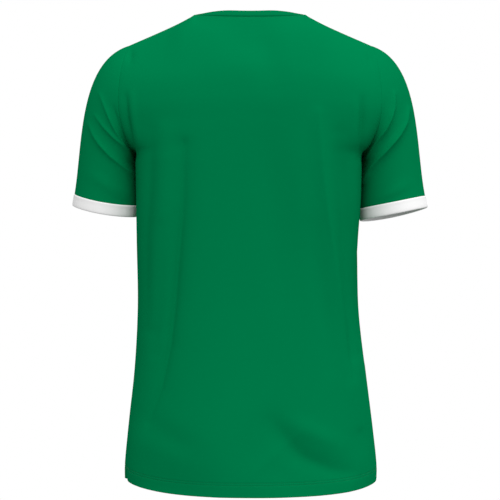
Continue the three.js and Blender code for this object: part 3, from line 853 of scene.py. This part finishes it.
def armhole_ring(side, around):
    """Armhole edge from the underarm up the back and down the front"""
    points = np.zeros((len(around), 3))
    share = np.array([float(side)])
    for panel, other, chosen, at in (
            (BACK, FRONT, around <= 0.5, around * 2),
            (FRONT, BACK, around > 0.5, 2 - around * 2)):
        places = ARMHOLE_FOOT + (TOP - ARMHOLE_FOOT) * at[chosen]
        points[chosen] = through_points(control_points(panel, other, share), places)[:, 0]
    return points


def sleeve_frame(sleeve):
    """Axis of the sleeve's open end, and the directions outwards and backwards across it"""
    lean, tip, side = math.radians(sleeve["lean"]), math.radians(sleeve["tip"]), sleeve["side"]
    axis = unit(np.array([side * math.sin(lean), math.sin(tip), -math.cos(lean)]))
    outward = unit(np.array([-axis[2] * side, 0, axis[0] * side]))
    return axis, outward, np.cross(outward, axis) * side


def cuff_ring(sleeve, around, depth=0.0, proud=0.0):
    """Ring at a depth below the cuff seam, standing proud of it"""
    axis, outward, backward = sleeve_frame(sleeve)
    angle = around[:, None] * 2 * math.pi
    return (np.array(sleeve["centre"], float)
            - outward * (sleeve["half"][0] + proud) * np.cos(angle)
            + backward * (sleeve["half"][1] + proud) * np.sin(angle)
            + axis * (depth + sleeve["bow"] * np.sin(angle) ** 2))


def sleeve_lift(sleeve, points, t):
    """How far the folds and creases lift the sleeve's cloth"""
    offset = np.abs(points[..., 1] - sleeve["centre"][1])
    sides = smoothstep(offset, 0, SLEEVE_FOLD_CLEAR)
    crease_fade = smoothstep(np.minimum(t, 1 - t), 0, SLEEVE_CREASE_CLEAR)
    x, z = points[..., 0] * sleeve["side"], points[..., 2]
    lift = np.zeros(points.shape[:2])
    for face in (1, -1):
        here = (points[..., 1] > sleeve["centre"][1]) == (face > 0)
        folds = fold_heights(SLEEVE_FOLDS[sleeve["name"]], face, x, z) * np.sin(math.pi * t)
        creases = fold_heights(SLEEVE_CREASES[sleeve["name"]], face, x, z) * crease_fade
        lift += here * sides * (folds + creases)
    return lift


def sleeve_piece(sleeve):
    """A sleeve from its armhole to its cuff seam, turned in at both"""
    around = np.linspace(0, 1, SLEEVE_AROUND + 1)
    ring = armhole_ring(sleeve["side"], around)
    leave = smooth_ring(SLEEVE_START, around) * np.array([sleeve["side"], 1, 1])
    arrive = smooth_ring(np.array(SLEEVE_END)[:, None], around) * sleeve_frame(sleeve)[0]
    end = cuff_ring(sleeve, around)
    t = np.linspace(0, 1, SLEEVE_FINE)[:, None]
    points = hermite(ring[None], leave[None], end[None], arrive[None], t[..., None])
    if sleeve["side"] < 0:
        points = points[:, ::-1]
    points = points + grid_normals(points, True) * sleeve_lift(sleeve, points, t)[..., None]
    points = resampled(points, SEAM_STEPS, SEAM_STEPS, SLEEVE_ROWS)
    normals = grid_normals(points, True)
    from_end = edge_distances(points, 0)
    points = points - normals * seam_dip(from_end)[..., None]
    points = with_seam_rows(points, normals, True)
    obj = cloth_object(f"sleeve_{sleeve['name']}_cloth", points, True, material_for("green"))
    finish_cloth(obj, f"sleeve_{sleeve['name']}", points, sleeve_frame(sleeve)[0])


def cuff_piece(sleeve):
    """A cuff folded double"""
    around = np.linspace(0, 1, CUFF_AROUND + 1)
    points = np.stack([cuff_ring(sleeve, around, depth, proud) for depth, proud in CUFF_PROFILE])
    if sleeve["side"] < 0:
        points = points[:, ::-1]
    obj = cloth_object(f"cuff_{sleeve['name']}_cloth", points, True, material_for("white"))
    finish_cloth(obj, f"cuff_{sleeve['name']}", points, sleeve_frame(sleeve)[0])


def neck_band_piece():
    """The neck band folded double, on the ring of both panels' neck curves"""
    shares = np.linspace(-NECK_SHARE, NECK_SHARE, BAND_COLUMNS + 1) * (1 - BAND_INSET)
    seam = np.concatenate([top_points(BACK, shares), top_points(FRONT, shares[::-1])[1:]])[::-1]
    seam[-1] = seam[0]
    inward = unit(np.stack([-seam[:, 0], BAND_CENTRE_Y - seam[:, 1], np.zeros(len(seam))], axis=-1))
    ends = np.where(inward[:, 1] < 0, BAND_LEAN["back"], BAND_LEAN["front"])
    turned = smoothstep(np.abs(inward[:, 1]), *BAND_LEAN_FADE)
    lean = np.radians(blend(BAND_LEAN["side"], ends, turned))[:, None]
    rise = inward * np.sin(lean) + np.array([0, 0, 1.0]) * np.cos(lean)
    out = grid_normals(np.stack([seam, seam + rise]), True)[0]
    stand = blend(BAND_SIDE_STAND, 1, inward[:, 1:2] ** 2)
    points = np.stack([
        seam + rise * along + out * proud * (stand if proud > 0 else 1) for along, proud in BAND_PROFILE])
    obj = cloth_object("neck_band_cloth", points, True, material_for("band"))
    finish_cloth(obj, "neck_band", points)


def sample(values, length, place):
    """Value at a place along a line, from values at the running lengths given"""
    return np.array([np.interp(place, length, values[:, k]) for k in range(3)])


def stitch_row(bm, capsule, points, normals, pitch, thread):
    """Lays one stitch after another along a line of points on the cloth"""
    length = np.concatenate([[0], np.cumsum(np.linalg.norm(np.diff(points, axis=0), axis=-1))])
    count = int(length[-1] // pitch)
    for place in (np.arange(count) + 0.5) * length[-1] / count:
        ends = [sample(points, length, place + step * pitch * STITCH_SHARE) for step in (-1, 1)]
        normal = Vector(sample(normals, length, place)).normalized()
        along = Vector(ends[1] - ends[0])
        reach = along.length
        along.normalize()
        side = normal.cross(along).normalized()
        turn = Matrix((along, side, normal)).transposed().to_4x4()
        middle = Vector((ends[0] + ends[1]) / 2) + normal * STITCH_LIFT
        size = Matrix.Diagonal((reach / 2 * MM, thread / 2 * MM, thread / 2 * MM, 1))
        matrix = Matrix.Translation(middle * MM) @ turn @ size
        capsule.transform(matrix)
        bm.from_mesh(capsule)
        capsule.transform(matrix.inverted())


def capsule_mesh():
    """One stitch: a small smooth capsule"""
    bm = bmesh.new()
    around, along = STITCH_SEGMENTS
    bmesh.ops.create_uvsphere(bm, u_segments=around, v_segments=along, radius=1)
    for face in bm.faces:
        face.smooth = True
    mesh = bpy.data.meshes.new("stitch")
    bm.to_mesh(mesh)
    bm.free()
    return mesh


def stitches(name, rows):
    """All the stitches of some rows, as one piece"""
    sizes = bpy.context.scene.jersey_sizes
    bm = bmesh.new()
    capsule = capsule_mesh()
    for points, normals in rows:
        stitch_row(bm, capsule, points, normals, sizes.stitch_pitch / MM, sizes.thread / MM)
    bpy.data.meshes.remove(capsule)
    obj = mesh_object(name, bm, material_for("thread"))
    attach(obj, "root")


class JERSEY_OT_body(bpy.types.Operator):
    """Back and front panels with their hems, seams and stitches"""

    bl_idname = "jersey.body"
    bl_label = "Body panels"

    def execute(self, context):
        back = body_panel(BACK, FRONT)
        front = body_panel(FRONT, BACK)
        stitches("hem_stitches", back["hem"] + front["hem"])
        stitches("neck_stitches", back["neck"] + front["neck"])
        return {"FINISHED"}


class JERSEY_OT_sleeves(bpy.types.Operator):
    """Set-in sleeves, left and right"""

    bl_idname = "jersey.sleeves"
    bl_label = "Sleeves"

    def execute(self, context):
        for sleeve in SLEEVES:
            sleeve_piece(sleeve)
        return {"FINISHED"}


class JERSEY_OT_cuffs(bpy.types.Operator):
    """White cuffs, folded double"""

    bl_idname = "jersey.cuffs"
    bl_label = "Cuffs"

    def execute(self, context):
        for sleeve in SLEEVES:
            cuff_piece(sleeve)
        return {"FINISHED"}


class JERSEY_OT_neck_band(bpy.types.Operator):
    """Neck band, folded double"""

    bl_idname = "jersey.neck_band"
    bl_label = "Neck band"

    def execute(self, context):
        neck_band_piece()
        return {"FINISHED"}


# Stage, in metres
FLOOR_Z = -1.46              # a standing wearer's floor below the neck points
FLOOR_RADIUS = 3.4
FLOOR_SEGMENTS = 96
CAMERA_DISTANCE = 2.2
CAMERA_Z = -0.365
VIEW_WIDTH = 0.78            # width of the picture at the jersey's middle
SENSOR = 36.0
LIGHTS = (
    {"name": "key_light", "strength": 2.2, "softness": 45.0, "from": (-0.15, 2.5, 2.8)},
    {"name": "side_light", "strength": 0.65, "softness": 25.0, "from": (-2.2, 0.5, 2.9)},
)

# Light of the surroundings: its middle value, how it grows upwards and towards the wearer's
# right, and the white backdrop in front of the wearer, with the cosines where it fades in
WORLD = {"middle": 0.67, "up": 0.25, "right": 0.14, "backdrop": 1.0, "fade": (0.8, 0.9)}


def studio_floor():
    """Round pale floor"""
    bm = bmesh.new()
    bmesh.ops.create_circle(bm, cap_ends=True, segments=FLOOR_SEGMENTS, radius=FLOOR_RADIUS,
                            matrix=Matrix.Translation((0, 0, FLOOR_Z)))
    bmesh.ops.recalc_face_normals(bm, faces=bm.faces)
    return mesh_object("studio_floor", bm, material_for("floor"))


def sun(settings):
    """One broad soft light"""
    light = bpy.data.lights.new(settings["name"], "SUN")
    light.energy = settings["strength"]
    light.angle = math.radians(settings["softness"])
    obj = bpy.data.objects.new(settings["name"], light)
    obj.location = settings["from"]
    obj.rotation_euler = (-Vector(settings["from"])).to_track_quat("-Z", "Y").to_euler()
    bpy.context.scene.collection.objects.link(obj)


def surroundings():
    """White surroundings, brighter above and to the wearer's right, with a white backdrop"""
    world = bpy.data.worlds.new("studio")
    world.use_nodes = True
    tree = world.node_tree
    start = Wire(tree, None)
    direction = start.node("ShaderNodeTexCoord", output=0)
    x, y, z = (direction.node("ShaderNodeSeparateXYZ", output=i, _0=direction) for i in range(3))
    soft = z * WORLD["up"] - x * WORLD["right"] + WORLD["middle"]
    near, full = WORLD["fade"]
    backdrop = start.node("ShaderNodeMapRange", {"interpolation_type": "SMOOTHSTEP"}, Value=0 - y,
                          From_Min=near, From_Max=full)
    strength = soft + backdrop * (WORLD["backdrop"] - soft)
    feed(tree, tree.nodes["Background"], {"Strength": strength, "Color": opaque((1, 1, 1))})
    return world


class JERSEY_OT_studio(bpy.types.Operator):
    """Pale floor, soft light and the camera behind the jersey"""

    bl_idname = "jersey.studio"
    bl_label = "Studio"

    def execute(self, context):
        scene = context.scene
        studio_floor()
        scene.world = surroundings()
        for settings in LIGHTS:
            sun(settings)
        scene.view_settings.view_transform = "Standard"
        camera = bpy.data.cameras.new("camera")
        camera.sensor_width = SENSOR
        camera.lens = SENSOR * CAMERA_DISTANCE / VIEW_WIDTH
        obj = bpy.data.objects.new("camera", camera)
        obj.location = (0, CAMERA_DISTANCE, CAMERA_Z)
        obj.rotation_euler = (math.pi / 2, 0, math.pi)
        scene.collection.objects.link(obj)
        scene.camera = obj
        return {"FINISHED"}


class JERSEY_PT_panel(bpy.types.Panel):
    """Lists the jersey's sizes, colours and pieces"""

    bl_idname = "JERSEY_PT_panel"
    bl_label = "Jersey"
    bl_space_type = "VIEW_3D"
    bl_region_type = "UI"
    bl_category = "Jersey"

    def draw(self, context):
        for group in (context.scene.jersey_sizes, context.scene.jersey_colours):
            for key in group.__annotations__:
                self.layout.prop(group, key)
        for operator in OPERATORS:
            self.layout.operator(operator.bl_idname)


OPERATORS = (
    JERSEY_OT_studio, JERSEY_OT_body, JERSEY_OT_sleeves, JERSEY_OT_cuffs, JERSEY_OT_neck_band,
)
CLASSES = (JerseySizes, JerseyColours) + OPERATORS + (JERSEY_PT_panel,)


def register():
    for cls in CLASSES:
        bpy.utils.register_class(cls)
    bpy.types.Scene.jersey_sizes = PointerProperty(type=JerseySizes)
    bpy.types.Scene.jersey_colours = PointerProperty(type=JerseyColours)


def unregister():
    del bpy.types.Scene.jersey_sizes
    del bpy.types.Scene.jersey_colours
    for cls in reversed(CLASSES):
        bpy.utils.unregister_class(cls)


def main():
    register()
    bpy.ops.jersey.studio()
    bpy.ops.jersey.body()
    bpy.ops.jersey.sleeves()
    bpy.ops.jersey.cuffs()
    bpy.ops.jersey.neck_band()


if __name__ == "__main__":
    main()
